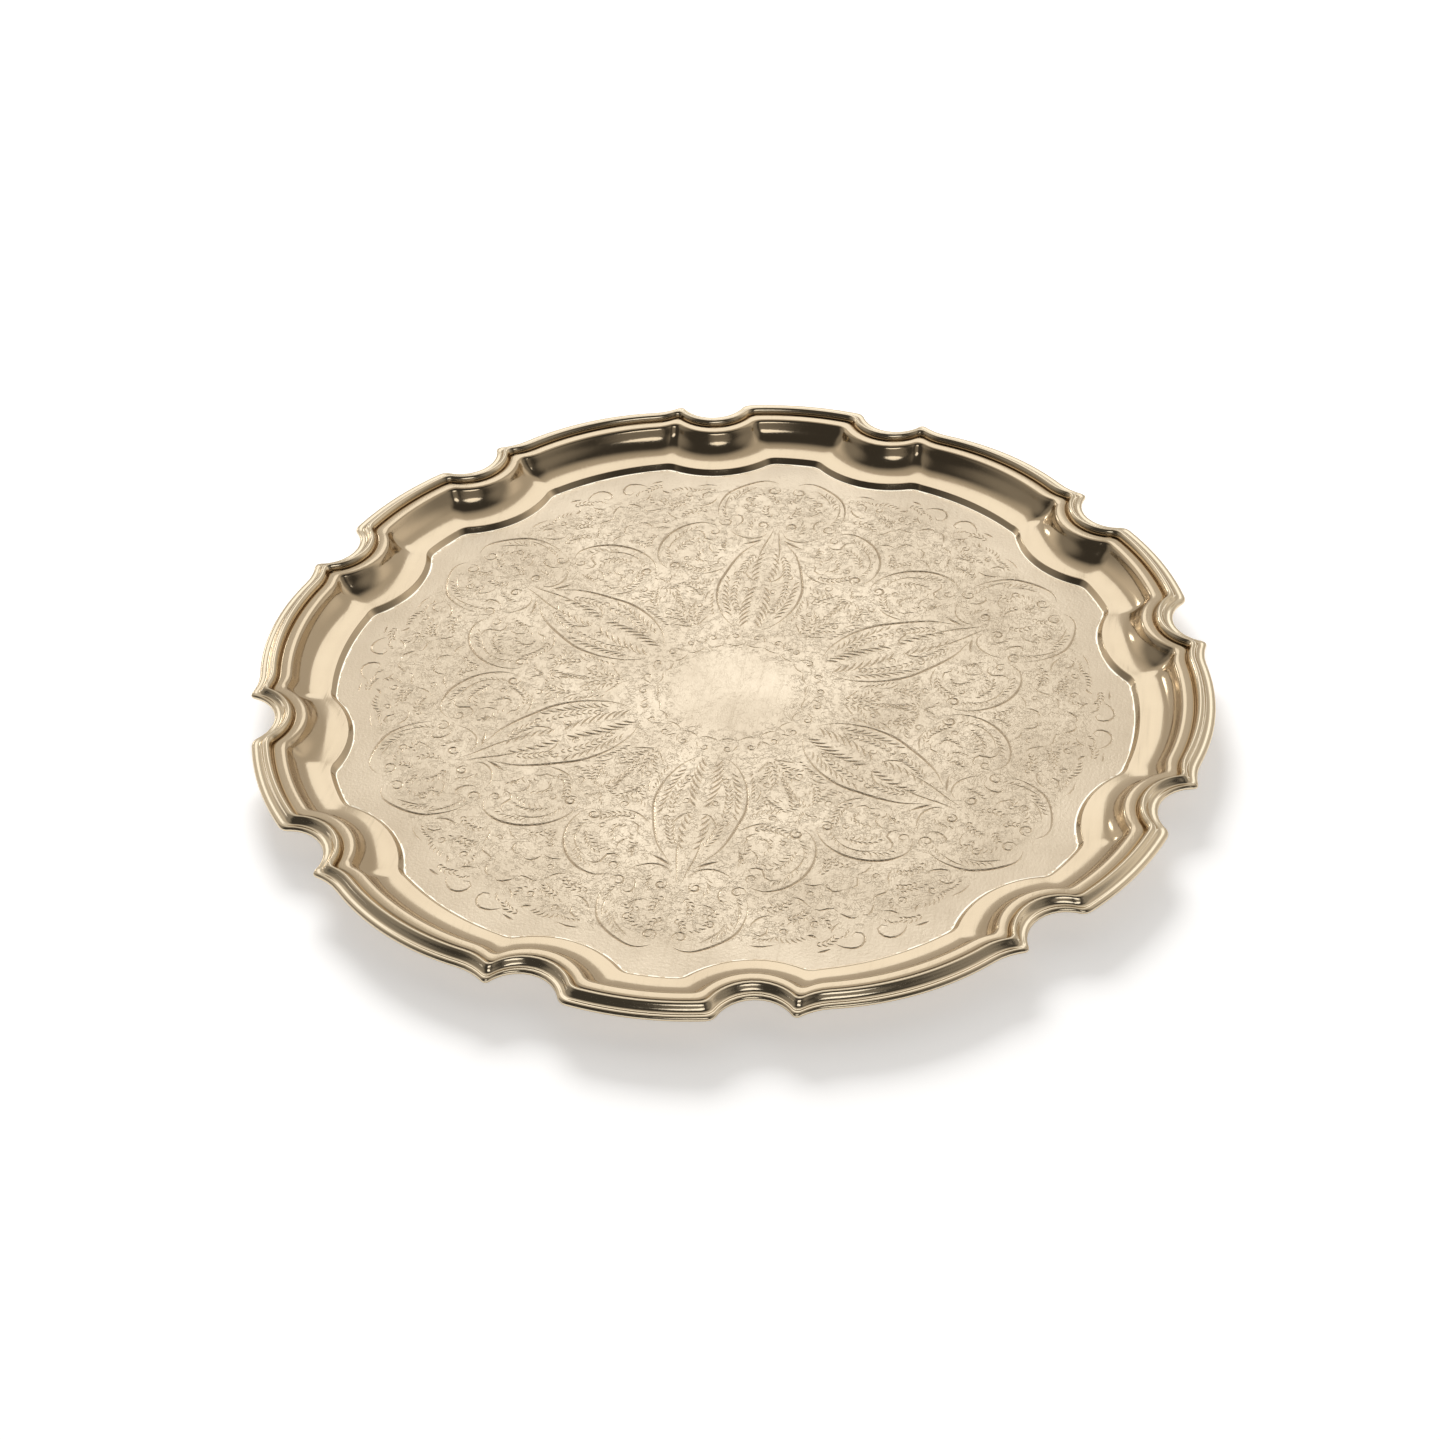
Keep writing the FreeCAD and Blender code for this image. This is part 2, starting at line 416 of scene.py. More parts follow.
def add_socket(tree, name, kind, output=False, default=None):
    socket = tree.interface.new_socket(
        name, in_out="OUTPUT" if output else "INPUT", socket_type=kind)
    if default is not None:
        socket.default_value = default
    return socket


def run_tree(obj, tree, values):
    """Evaluates a node tree on an object and returns the result as a plain mesh."""
    modifier = obj.modifiers.new(tree.name, "NODES")
    modifier.node_group = tree
    for item in tree.interface.items_tree:
        if item.item_type == "SOCKET" and item.in_out == "INPUT" and item.name in values:
            modifier[item.identifier] = values[item.name]
    bpy.context.view_layer.update()
    result = obj.evaluated_get(bpy.context.evaluated_depsgraph_get())
    mesh = bpy.data.meshes.new_from_object(result)
    obj.modifiers.remove(modifier)
    return mesh


# ---------------------------------------------------------------- node trees for shape
def shape_tree(name, *sockets):
    """A new tree with its named inputs, and one output for its geometry."""
    tree = bpy.data.node_groups.new(name, "GeometryNodeTree")
    for socket, kind, default in (("Geometry", "Geometry", None), *sockets,
                                  ("Merge distance", "Float", WELD),
                                  ("Material", "Material", None)):
        add_socket(tree, socket, "NodeSocket" + kind, default=default)
    add_socket(tree, "Geometry", "NodeSocketGeometry", output=True)
    return tree, tree.nodes.new("NodeGroupInput").outputs


def end_tree(tree, geometry, given):
    """Merges the points that meet, and leaves plain geometry in its finish."""
    merged = add_node(tree, "GeometryNodeMergeByDistance",
                      {"Geometry": geometry, "Distance": given["Merge distance"]}).outputs[0]
    real = add_node(tree, "GeometryNodeRealizeInstances", {0: merged}).outputs[0]
    coloured = add_node(tree, "GeometryNodeSetMaterial",
                        {"Geometry": real, "Material": given["Material"]}).outputs[0]
    tree.links.new(coloured, tree.nodes.new("NodeGroupOutput").inputs[0])


def profile_tree():
    """Carries a section between two outlines that have as many points as each other."""
    tree, given = shape_tree(
        "Section between outlines", ("Outer outline", "Object", None),
        ("Inner outline", "Object", None), ("Section", "Object", None),
        ("Outline points", "Int", 2), ("Section points", "Int", 2),
        ("Inset across", "Float", 1.0), ("Close ends", "Bool", False))
    shapes = {name: add_node(tree, "GeometryNodeObjectInfo", {"Object": given[name]})
              .outputs["Geometry"] for name in ("Outer outline", "Inner outline", "Section")}
    position = tree.nodes.new("GeometryNodeInputPosition").outputs[0]
    index = tree.nodes.new("GeometryNodeInputIndex").outputs[0]

    def sample(shape, number):
        return add_node(tree, "GeometryNodeSampleIndex",
                        {"Geometry": shapes[shape], "Value": position, "Index": number},
                        data_type="FLOAT_VECTOR").outputs[0]

    def place(geometry, row, section):
        """Puts points where the outlines' row and the section's share and height say."""
        parts = add_node(tree, "ShaderNodeSeparateXYZ", {0: section}).outputs
        across = add_node(tree, "ShaderNodeMix",
                          {"Factor": parts[0], 4: sample("Outer outline", row),
                           5: sample("Inner outline", row)}, data_type="VECTOR").outputs[1]
        lift = add_node(tree, "ShaderNodeCombineXYZ", {"Z": parts[1]}).outputs[0]
        total = add_node(tree, "ShaderNodeVectorMath", {0: across, 1: lift}).outputs[0]
        inset = maths(tree, "MULTIPLY", parts[0], given["Inset across"])
        marked = add_node(tree, "GeometryNodeStoreNamedAttribute",
                          {"Geometry": geometry, "Name": "inset", "Value": inset},
                          data_type="FLOAT", domain="POINT").outputs[0]
        return add_node(tree, "GeometryNodeSetPosition",
                        {"Geometry": marked, "Position": total}).outputs[0]

    grid = add_node(tree, "GeometryNodeMeshGrid",
                    {"Vertices X": given["Outline points"],
                     "Vertices Y": given["Section points"]}).outputs[0]
    row = maths(tree, "FLOOR", maths(tree, "DIVIDE", index, given["Section points"]))
    column = maths(tree, "MODULO", index, given["Section points"])
    body = place(grid, row, sample("Section", column))

    closed = add_node(tree, "GeometryNodeMergeByDistance",
                      {"Geometry": shapes["Section"], "Distance": SECTION_WELD}).outputs[0]
    curve = add_node(tree, "GeometryNodeMeshToCurve", {"Mesh": closed}).outputs[0]
    filled = add_node(tree, "GeometryNodeFillCurve", {"Curve": curve}).outputs[0]
    last = maths(tree, "SUBTRACT", given["Outline points"], 1.0)
    first_cap = place(filled, 0, position)
    last_cap = add_node(tree, "GeometryNodeFlipFaces",
                        {"Mesh": place(filled, last, position)}).outputs[0]
    caps = tree.nodes.new("GeometryNodeJoinGeometry")
    for cap in (first_cap, last_cap, body):
        tree.links.new(cap, caps.inputs[0])
    switch = add_node(tree, "GeometryNodeSwitch",
                      {"Switch": given["Close ends"], "False": body, "True": caps.outputs[0]},
                      input_type="GEOMETRY").outputs[0]
    end_tree(tree, switch, given)
    return tree


def around_tree():
    """Repeats a piece evenly round the tray's centre and joins the seams."""
    tree, given = shape_tree("Repeat round the centre", ("Count", "Int", SIDES))
    points = add_node(tree, "GeometryNodePoints", {"Count": given["Count"]}).outputs[0]
    index = tree.nodes.new("GeometryNodeInputIndex").outputs[0]
    share = maths(tree, "DIVIDE", index, given["Count"])
    angle = maths(tree, "MULTIPLY", share, 2 * math.pi)
    turn = add_node(tree, "ShaderNodeCombineXYZ", {"Z": angle}).outputs[0]
    spin = add_node(tree, "FunctionNodeEulerToRotation", {0: turn}).outputs[0]
    copies = add_node(tree, "GeometryNodeInstanceOnPoints",
                      {"Points": points, "Instance": given["Geometry"],
                       "Rotation": spin}).outputs[0]
    real = add_node(tree, "GeometryNodeRealizeInstances", {0: copies}).outputs[0]
    end_tree(tree, real, given)
    return tree


def swept(name, outer, inner, section, material):
    """A mesh made by the section tree; a section that ends where it starts is closed."""
    closed = bool(np.allclose(section[0], section[-1]))
    helpers = [path_object("outer", outer * MM), path_object("inner", inner * MM),
               path_object("section", section * (1 / BAND, MM))]
    base = mesh_object("base", [(0, 0, 0)])
    tree = bpy.data.node_groups.get("Section between outlines") or profile_tree()
    mesh = run_tree(base, tree, {
        "Outer outline": helpers[0], "Inner outline": helpers[1], "Section": helpers[2],
        "Outline points": len(outer), "Section points": len(section), "Inset across": BAND,
        "Close ends": closed, "Merge distance": WELD, "Material": material})
    remove(base, *helpers)
    mesh.name = name
    return mesh


# ---------------------------------------------------------------- engraving
# A cut is its greatest width and then its points, in millimetres from the tray's centre with
# the short lobe's middle straight up.  Cuts are drawn to the right of that line, and are cut
# to its left, where the outline's half sector lies.
SCROLLS = (
    # The large scroll at the lobe, its hook and the leaf lines inside it.
    (0.85, (2.7, 115.0), (5.6, 116.5), (9.0, 116.5), (13.3, 114.3), (17.7, 110.7),
     (20.6, 106.8), (22.0, 101.0), (21.8, 96.2), (20.6, 92.2)),
    (0.65, (16.2, 94.2), (13.8, 95.2), (12.5, 92.8), (12.9, 89.9), (14.9, 88.2)),
    (0.45, (19.2, 107.0), (20.0, 102.0), (19.4, 97.0), (17.8, 93.4)),
    (0.5, (10.2, 113.0), (13.0, 110.4), (15.4, 107.4), (16.6, 103.6)),
    (0.45, (13.6, 101.2), (12.0, 98.6), (9.0, 97.2), (6.6, 97.8)),
    # The horn below it and the stem of the palmette.
    (0.6, (2.7, 86.5), (4.2, 83.6), (8.5, 82.1), (13.3, 83.6), (16.2, 86.4)),
    (0.95, (3.6, 82.2), (6.6, 80.2), (10.6, 78.2)),
    (0.55, (0.9, 89.6), (1.3, 85.5), (2.9, 77.3), (3.4, 70.5), (2.6, 63.8)),
    # The middle scroll, its hook and the leaf lines inside it.
    (0.9, (20.2, 87.6), (23.2, 88.8), (25.9, 89.1), (30.7, 87.0), (34.6, 83.1), (37.0, 78.3),
     (38.0, 72.8), (37.2, 67.0), (34.6, 62.5), (31.6, 60.6)),
    (0.65, (18.7, 81.7), (20.6, 79.7), (23.5, 80.2), (24.5, 83.1), (26.9, 84.3), (29.8, 82.9)),
    (0.5, (29.6, 81.9), (32.6, 79.0), (34.4, 75.0), (34.4, 70.6), (32.8, 67.2)),
    (0.5, (18.2, 72.0), (20.6, 73.9), (21.4, 76.4), (20.2, 78.6)),
    # The palmette's outline, its second line and the branch that leaves it.
    (0.9, (4.2, 81.4), (5.6, 79.2), (9.0, 74.4), (11.4, 68.1), (12.9, 61.9), (14.1, 55.6),
     (13.8, 49.8), (12.4, 44.0), (9.0, 37.2), (5.3, 33.3), (2.2, 31.6)),
    (0.55, (13.3, 65.0), (16.2, 62.3), (19.6, 60.4), (23.4, 60.0)),
    (0.55, (15.3, 70.5), (16.7, 68.6), (16.5, 66.7), (18.2, 65.2), (20.4, 64.7)),
    (0.6, (7.2, 64.9), (5.0, 60.4), (2.7, 58.6), (0.6, 59.2)),
    (0.5, (14.3, 38.2), (16.7, 32.9), (17.4, 30.6)),
    (0.5, (16.0, 51.7), (17.2, 48.3), (17.0, 45.0)),
    (0.5, (19.6, 45.6), (21.1, 40.1), (21.0, 37.4)),
    # The cartouche round the long lobe's middle: two broken lines.
    (0.55, (33.6, 90.1), (36.5, 90.6), (38.6, 92.6), (40.4, 93.9)),
    (0.6, (40.4, 93.9), (43.3, 94.4), (45.2, 92.9), (46.6, 93.0), (48.1, 94.4)),
    (0.7, (48.1, 94.4), (50.1, 95.5), (52.7, 96.2), (54.4, 94.4)),
    (0.55, (36.0, 84.1), (39.4, 84.5), (42.3, 82.9)),
    (0.6, (42.3, 82.9), (43.3, 84.7), (46.0, 86.2), (48.6, 84.3)),
    # The garland near the floor's edge.
    (0.65, (25.2, 106.8), (26.9, 107.4), (28.8, 105.8), (28.6, 103.2), (27.0, 103.6)),
    (0.65, (23.6, 104.6), (24.2, 102.2), (25.6, 100.3), (27.8, 98.8), (30.0, 99.2)),
    (0.8, (40.4, 105.0), (42.0, 105.0), (43.8, 105.9)),
    (0.8, (44.3, 111.4), (46.2, 110.6), (48.3, 109.2)),
    (0.7, (48.6, 106.8), (50.6, 107.9), (53.2, 108.3), (56.0, 107.3), (57.2, 104.6),
     (56.2, 101.9), (54.0, 101.7), (53.2, 103.4), (54.6, 104.2)),
    (0.6, (47.2, 103.2), (47.6, 100.6), (49.2, 98.2)),
    (0.55, (24.6, 111.4), (28.0, 111.6), (32.4, 110.0)),
)

# Spiral ends: middle, radius, start angle, sweep, width.
SPIRALS = (
    (4.6, 111.2, 2.6, 110, 460, 0.6), (12.1, 105.0, 1.7, 200, 430, 0.55),
    (5.1, 90.4, 2.1, 250, -470, 0.75), (17.9, 90.6, 2.6, 20, -430, 0.6),
    (31.0, 63.3, 2.3, -80, -480, 0.8), (20.9, 84.4, 2.0, 90, 400, 0.55),
    (16.8, 77.0, 1.5, 0, 420, 0.5), (22.6, 57.6, 1.6, 60, -420, 0.5),
    (8.8, 61.6, 1.6, 180, -430, 0.5), (4.6, 53.2, 1.5, 0, 420, 0.5),
    (6.0, 42.8, 1.3, 120, 400, 0.5), (18.6, 42.6, 1.4, 30, 420, 0.5),
    (42.2, 100.0, 1.6, 40, 430, 0.55), (33.4, 104.6, 1.5, 90, -420, 0.55),
    (39.0, 88.0, 1.3, 90, 420, 0.45), (27.4, 68.0, 1.4, 180, 420, 0.5),
)

# Rows of leaf strokes: the line they grow from, side (0 for both), how many, length, lean,
# width.
SPRAYS = (
    (((1.2, 76.0), (1.6, 68.0), (1.2, 60.0)), 1, 6, 5.6, 34, 0.72),
    (((0.9, 57.0), (1.2, 48.0), (0.8, 36.0)), 1, 8, 7.6, 32, 0.78),
    (((12.6, 61.4), (12.8, 54.0), (11.8, 46.6), (9.4, 39.6)), -1, 9, 5.6, 34, 0.66),
    (((4.4, 73.6), (6.6, 68.4), (7.6, 62.6)), 0, 7, 3.0, 34, 0.55),
    (((7.9, 60.4), (8.4, 54.0), (7.6, 47.4), (5.2, 41.6)), 0, 10, 2.6, 32, 0.55),
    (((16.8, 31.4), (19.4, 36.6), (20.9, 42.2)), 0, 6, 2.6, 34, 0.55),
    (((13.2, 37.4), (15.2, 43.0), (16.0, 49.2)), 1, 7, 3.0, 34, 0.55),
    (((22.6, 41.4), (25.2, 46.4), (26.6, 51.6)), -1, 6, 3.2, 36, 0.55),
    (((18.2, 47.6), (20.8, 51.4), (24.6, 53.8)), 0, 6, 2.4, 36, 0.52),
    (((17.6, 63.6), (21.4, 62.2), (25.6, 62.8), (29.0, 64.6)), 0, 8, 2.6, 36, 0.55),
    (((19.6, 66.8), (22.4, 66.6), (24.6, 68.4)), 1, 5, 2.4, 40, 0.52),
    (((24.6, 80.6), (28.4, 79.4), (31.4, 76.0), (32.6, 71.4)), -1, 8, 2.8, 40, 0.55),
    (((16.2, 80.6), (17.4, 77.4), (16.4, 73.8)), -1, 5, 2.6, 40, 0.52),
    (((2.6, 95.0), (5.2, 98.0), (5.6, 101.8)), 0, 5, 2.2, 38, 0.55),
    (((1.2, 104.6), (3.4, 105.4), (5.0, 107.8)), 0, 4, 2.0, 40, 0.55),
    (((8.6, 101.0), (11.4, 101.8), (13.4, 99.8)), 0, 4, 2.0, 40, 0.52),
    (((25.0, 95.6), (28.2, 96.2), (31.4, 95.0), (33.4, 92.6)), 0, 6, 2.2, 38, 0.55),
    (((24.4, 109.0), (28.6, 109.4), (32.4, 108.0)), -1, 6, 2.4, 40, 0.45),
    (((33.4, 99.6), (36.8, 98.0), (38.8, 95.6)), 0, 5, 2.2, 38, 0.55),
    (((43.2, 108.6), (46.6, 107.2), (48.8, 104.6)), 0, 5, 2.4, 38, 0.55),
    (((42.6, 97.4), (45.0, 98.8), (46.0, 101.4)), -1, 4, 2.2, 38, 0.55),
    (((40.2, 80.0), (41.8, 76.8), (41.4, 72.8)), 0, 5, 2.0, 38, 0.52),
    (((13.6, 113.0), (17.4, 109.2), (19.6, 104.0)), -1, 6, 3.6, 50, 0.45),
    (((20.9, 100.4), (20.7, 96.4), (19.4, 93.0)), -1, 4, 3.2, 40, 0.45),
    (((6.0, 108.4), (9.0, 107.0), (10.6, 103.6)), 1, 5, 2.8, 45, 0.52),
    (((8.4, 94.6), (10.2, 91.0), (10.0, 87.0)), -1, 5, 3.4, 45, 0.45),
    (((26.6, 87.2), (31.2, 84.6), (34.6, 79.6)), -1, 6, 3.4, 48, 0.45),
    (((35.8, 74.4), (35.6, 69.6), (33.6, 65.6)), -1, 5, 3.2, 45, 0.45),
    (((22.0, 77.6), (26.6, 76.0), (29.6, 72.0)), 1, 6, 3.2, 48, 0.45),
    (((23.0, 75.0), (25.0, 71.2), (24.8, 66.8)), -1, 5, 3.4, 45, 0.45),
    (((14.8, 76.4), (16.6, 73.4), (17.4, 70.2)), 1, 4, 2.4, 45, 0.52),
    (((16.0, 58.6), (19.6, 56.6), (24.0, 55.6)), -1, 6, 3.6, 48, 0.45),
    (((24.4, 54.0), (27.0, 52.2), (29.0, 49.8)), 1, 5, 2.8, 45, 0.45),
    (((16.4, 55.0), (17.8, 52.0), (20.6, 49.6), (24.0, 48.6)), 1, 6, 2.8, 45, 0.45),
    (((15.0, 42.6), (16.4, 38.6), (16.8, 34.6)), 1, 6, 2.8, 40, 0.52),
    (((31.0, 106.8), (35.0, 107.0), (39.4, 105.6)), 1, 6, 3.2, 50, 0.55),
    (((31.6, 102.6), (35.8, 101.6), (39.6, 99.0)), -1, 5, 2.6, 45, 0.45),
    (((49.6, 105.2), (51.6, 104.2), (52.6, 101.6)), -1, 4, 2.2, 40, 0.45),
    (((37.6, 96.4), (39.6, 97.4), (41.4, 97.2)), 1, 3, 2.0, 50, 0.45),
    (((29.4, 59.6), (31.2, 57.2), (31.6, 54.2)), -1, 4, 2.6, 35, 0.45),
    (((30.2, 51.0), (27.4, 47.6), (24.4, 43.4), (22.0, 39.4)), 1, 8, 3.0, 35, 0.45),
    (((27.0, 93.4), (30.6, 93.0), (33.4, 91.0)), 1, 4, 2.4, 45, 0.45),
)

# The ring of small curls round the plain middle: each is a curl, a stem and an arc.
RING_STEP = 15.0             # degrees from one curl to the next
RING_CURLS = 2               # curls in half a sector
RING_CURL = (28.2, 1.5, 430)           # reach of its middle, radius, sweep
RING_STEM = ((-7, 26.4), (-3, 29.6))   # each end: degrees off the curl, reach
RING_ARC = (24.6, 23.4)      # reach of the arc's ends and of its middle
RING_WIDTHS = (0.55, 0.5, 0.45)

POINTS_APART = 1.5           # about how far apart the points of a drawn cut are
SAME_POINT = 1e-5            # drawn points nearer than this are one, in millimetres
SPINE_STEPS = 4              # steps along a row's line for each of its leaf strokes
LEAF_BEND = (1.35, 1.0, 0.45)          # how a leaf stroke's lean eases off along it
SHORTEST_LEAF = 0.62         # the leaves at both ends of a row, as a share of the middle one
ENTRY, EXIT = (0.3, 0.7), (0.45, 0.8)  # a cut's two tapers: their share of it, their power
FAINTEST_CUT = 0.012         # cuts no deeper than this leave the floor flat, in millimetres


def length_of(line):
    return float(np.linalg.norm(np.diff(np.asarray(line, float), axis=0), axis=1).sum())


def curl(centre, radius, start, sweep, inner=0.25, count=13):
    """A scroll end that winds in from its start angle, sweep degrees round, to a share."""
    angles = np.radians(np.linspace(start, start + sweep, count))
    radii = radius * np.linspace(1, inner, count)
    return np.asarray(centre) + np.stack((np.cos(angles), np.sin(angles)), 1) * radii[:, None]


def spray(spine, side, count, length, lean, width):
    """Leaf strokes that grow from a line, on one side or both, bending over to its end."""
    if side == 0:
        return [cut for one in (1, -1) for cut in spray(spine, one, count, length, lean, width)]
    spine = smooth_run(spine, SPINE_STEPS * count + 1)
    cuts = []
    for number in range(count):
        at = SPINE_STEPS * number + SPINE_STEPS // 2
        heading = spine[at + 1] - spine[at - 1]
        heading /= np.linalg.norm(heading)
        fullness = math.sin(math.pi * (number + 0.5) / count)
        size = length * (SHORTEST_LEAF + (1 - SHORTEST_LEAF) * fullness)
        line = [spine[at]]
        for bend in LEAF_BEND:
            line.append(line[-1] + turned(heading, lean * bend * side) * size / len(LEAF_BEND))
        cuts.append((smooth_run(line, 5), width))
    return cuts


def ring_curls():
    """The curls round the plain middle, each with its stem and the arc that joins it on."""
    cuts = []
    reach, radius, sweep = RING_CURL
    for number in range(RING_CURLS):
        angle = 90 - RING_STEP * (number + 0.5)
        foot, top = (polar(angle + off, far) for off, far in RING_STEM)
        first, last = (polar(angle + side * RING_STEP / 2, RING_ARC[0]) for side in (1, -1))
        lines = (curl(polar(angle, reach), radius, angle - 90, sweep, count=11),
                 np.linspace(foot, top, 4),
                 arc_points(first, polar(angle, RING_ARC[1]), last, np.linspace(0, 1, 7)))
        cuts += zip(lines, RING_WIDTHS)
    return cuts


def motif():
    """Every cut of half a sector, as lines with their greatest widths."""
    cuts = []
    for width, *points in SCROLLS:
        count = int(np.clip(length_of(points) / POINTS_APART, 5, 26))
        cuts.append((smooth_run(points, count), width))
    for x, y, radius, start, sweep, width in SPIRALS:
        cuts.append((curl((x, y), radius, start, sweep), width))
    for row in SPRAYS:
        cuts += spray(*row)
    return cuts + ring_curls()


def tapered(count):
    """A graver's cut: it enters fast, is full round its middle and runs out slowly."""
    share = np.linspace(0, 1, count)
    entry = (share / ENTRY[0]) ** ENTRY[1]
    leaving = ((1 - share) / EXIT[0]) ** EXIT[1]
    return np.minimum(1, np.minimum(entry, leaving))


def cut_depths(places, cuts, slope):
    """Depth below the floor at each place, the deepest of the cuts that reach it."""
    depths = np.zeros(len(places))
    for line, widths in cuts:
        reach = widths.max() / 2
        low, high = line.min(0) - reach, line.max(0) + reach
        near = np.flatnonzero(((places >= low) & (places <= high)).all(1))
        if not len(near):
            continue
        start, step = line[:-1], np.diff(line, axis=0)
        away = places[near][:, None] - start[None]
        along = (away * step).sum(2) / np.maximum((step ** 2).sum(1), 1e-12)
        along = along.clip(0, 1)
        gap = np.linalg.norm(away - along[..., None] * step, axis=2)
        half = (widths[:-1] + (widths[1:] - widths[:-1]) * along) / 2
        depths[near] = np.maximum(depths[near], ((half - gap) * slope).max(1))
    depths[depths < FAINTEST_CUT] = 0
    return depths


def with_neighbours(cuts):
    """The cuts, turned to the left of the lobe's middle, and any that reach in from beside."""
    drawn = []
    for line, width in cuts:
        line = np.asarray(line) * (-1, 1)
        widths = width * tapered(len(line))
        drawn.append((line, widths))
        for ray, side in ((SHORT_AXIS, 1), (LONG_AXIS, -1)):
            away = side * (line @ polar(ray + 90, 1))
            if away.min() < width / 2:
                drawn.append((mirrored(line, ray), widths[::-1]))
    return drawn


def groove_lines(drawn, points, edges):
    """Adds each cut's bottom and its two banks, which meet the bottom at both its ends."""
    for line, widths in drawn:
        step = np.gradient(line, axis=0)
        step /= np.linalg.norm(step, axis=1)[:, None]
        square = np.stack((-step[:, 1], step[:, 0]), 1) * (widths / 2)[:, None]
        first, count = len(points), len(line)
        points += list(line)
        edges += [(first + n, first + n + 1) for n in range(count - 1)]
        for sign in (-1, 1):
            start = len(points)
            points += list((line + sign * square)[1:-1])
            row = [first, *range(start, start + count - 2), first + count - 1]
            edges += list(zip(row[:-1], row[1:]))


def inside(place, ring):
    """True where a place is inside a closed ring of points."""
    x, y = place
    x0, y0 = ring[:, 0], ring[:, 1]
    x1, y1 = np.roll(x0, -1), np.roll(y0, -1)
    crosses = (y0 > y) != (y1 > y)
    with np.errstate(divide="ignore", invalid="ignore"):
        at = x0 + (y - y0) * (x1 - x0) / (y1 - y0)
    return bool((crosses & (x < at)).sum() % 2)


def cut_half_sector(cuts, slope):
    """Half a sector of the floor as a mesh of triangles, every cut a real groove."""
    drawn = with_neighbours(cuts)
    ring = np.concatenate((np.zeros((1, 2)), half_sector(BAND)))
    points = list(ring)
    edges = [(n, (n + 1) % len(ring)) for n in range(len(ring))]
    groove_lines(drawn, points, edges)
    flat, _, faces, *_ = delaunay_2d_cdt([Vector(map(float, p)) for p in points], edges,
                                         [], 0, SAME_POINT)
    flat = np.array([tuple(p) for p in flat])
    kept = [face for face in faces if inside(flat[list(face)].mean(0), ring)]
    used = sorted({n for face in kept for n in face})
    order = {n: k for k, n in enumerate(used)}
    flat = flat[used]
    return flat, [tuple(order[n] for n in face) for face in kept], cut_depths(flat, drawn, slope)


# ---------------------------------------------------------------- finishes
SCRATCH_DEPTH, GRAIN_DEPTH, CHASED_DEPTH = 0.000004, 0.00010, 0.00005     # metres
# Metal: fields, ranges of them, and what they do to the colour and the roughness.
EDGE_HIGHLIGHT_INSETS = (23.9, 24.2)   # insets between which the floor's rounded edge is painted pale, a painted highlight
# colour of the painted highlight along the floor's rounded edge
EDGE_HIGHLIGHT_COLOUR = (0.94, 0.86, 0.70, 1)
CLOUDED = (0.35, 0.75)       # values of the cloud field between which tarnish comes on
CLOUD_RISE = (0.3, 0.7)      # and between which the roughness rises,
CLOUD_SPREAD = (0.85, 1.15)  # from the one share of its own value to the other
SCRATCHED = (0.60, 0.74)     # values of a field between which it is a scratch
SCRATCH_ROUGHNESS = 0.06     # added to the roughness along a scratch
SCRATCH_TURNS = (20.0, 75.0, 140.0)    # how the polishing strokes lie, in degrees
SCRATCH_SQUEEZE = 0.03       # a field squeezed to this share draws out into strokes
CURLS = ((330.0, 0.035), (620.0, 0.05))          # fine chased curls: size, width of the line
CURL_BREAKS = (420.0, 0.40, 0.52)                # size of the gaps in them, and their edges
CHASED_REACH = (0.116, 0.111)          # the chasing fades out between these from the centre
PLAIN_MIDDLE = (0.017, 0.022, 0.35)    # and here it falls to this share of its depth
CUT_TARNISH = (0.2, 1.0, 0.0, 0.6)     # how deep a cut is, as a share: from, to; tarnish there
CUT_POLISH = (0.0, 0.15, 1.0, 0.6)     # the same for the roughness that is left
CHASED_TARNISH = 0.10
HOLLOWS = ((6.2, 0.5, 0.85), (2.4, 0.4, 0.15))   # inset, half width and tarnish of each


def wear_group():
    """Clouding, fine polishing scratches and a fine grain, for any metal surface."""
    tree = bpy.data.node_groups.new("Metal wear", "ShaderNodeTree")
    add_socket(tree, "Position", "NodeSocketVector")
    for name, size in (("Cloud size", 30.0), ("Scratch size", 900.0), ("Grain size", 1100.0)):
        add_socket(tree, name, "NodeSocketFloat", default=size)
    given = tree.nodes.new("NodeGroupInput").outputs
    place = given["Position"]
    cloud = noise(tree, place, given["Cloud size"], detail=5.0, roughness=0.55)
    scratches = 0.0
    for turn in SCRATCH_TURNS:
        laid = add_node(tree, "ShaderNodeMapping", {
            "Vector": place, "Rotation": (0, 0, math.radians(turn)),
            "Scale": (1.0, SCRATCH_SQUEEZE, 1.0)}).outputs[0]
        fine = noise(tree, laid, given["Scratch size"], detail=2.0)
        scratches = maths(tree, "MAXIMUM", scratches, ramp(tree, fine, *SCRATCHED))
    grain = noise(tree, place, given["Grain size"], detail=3.0, roughness=0.6)
    fields = {"Cloud": cloud, "Scratches": scratches, "Grain": grain}
    for name in fields:
        add_socket(tree, name, "NodeSocketFloat", output=True)
    add_node(tree, "NodeGroupOutput", fields)
    return tree


def start_material(name, colour):
    material = bpy.data.materials.new(name)
    material.use_nodes = True
    material.diffuse_color = (*colour, 1.0)
    material.metallic = 1.0
    tree = material.node_tree
    tree.nodes.clear()
    shader = add_node(tree, "ShaderNodeBsdfPrincipled", {"Metallic": 1.0})
    add_node(tree, "ShaderNodeOutputMaterial", {"Surface": shader.outputs[0]})
    return material, shader


